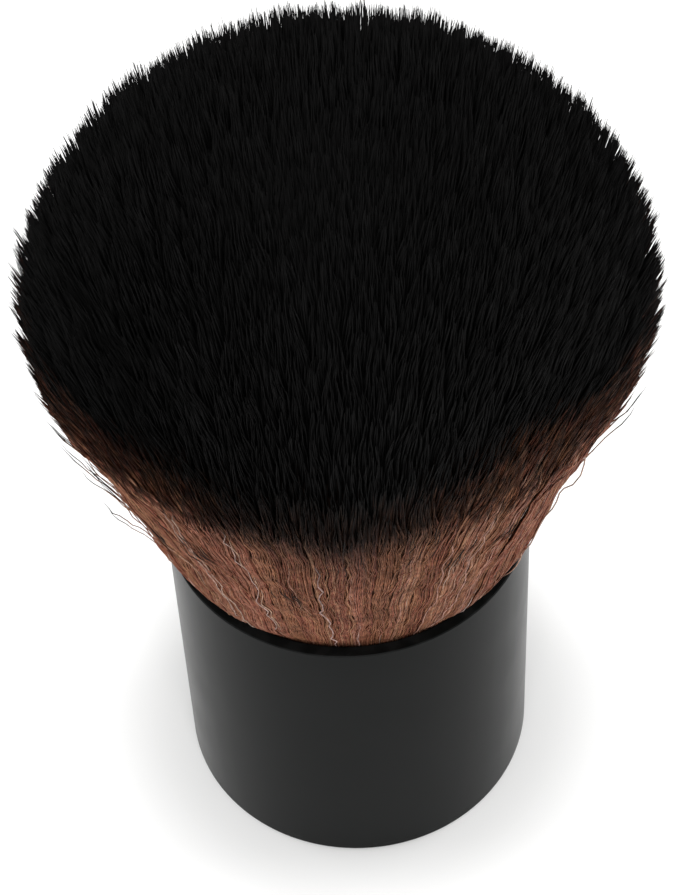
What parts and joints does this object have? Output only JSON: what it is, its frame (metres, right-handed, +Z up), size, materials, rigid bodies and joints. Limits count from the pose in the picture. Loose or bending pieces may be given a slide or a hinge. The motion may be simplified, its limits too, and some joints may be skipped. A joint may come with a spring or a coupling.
{
  "type": "kabuki makeup brush",
  "caption": "Short powder brush with a straight black metal handle and a dense flared head of brown hair with black tips, domed on top.",
  "frame": {"origin": "centre of the flat face of the base cap that the brush stands on", "axes": "+Z up along the handle's axis to the top of the hair; the picture was taken from the -Y side with +X to the right"},
  "size_m": [0.0474, 0.0473, 0.0738],
  "materials": {
    "black_shell": "satin black anodised",
    "black_cap": "satin black anodised",
    "foam": "matte closed-cell foam",
    "steel": "turned",
    "liner_plastic": "moulded",
    "bare_aluminium": "drawn",
    "set_glue": "amber, set hard",
    "hair": "fine crimped hair, brown with black tips"
  },
  "bodies": {
    "root": {"handle_shell": "black_shell", "base_cap": "black_cap", "slug_pad": "foam", "weight_slug": "steel", "core_liner": "liner_plastic", "knot_ring": "bare_aluminium", "glue_plug": "set_glue", "bristle_head": "hair"}
  },
  "joints": []
}
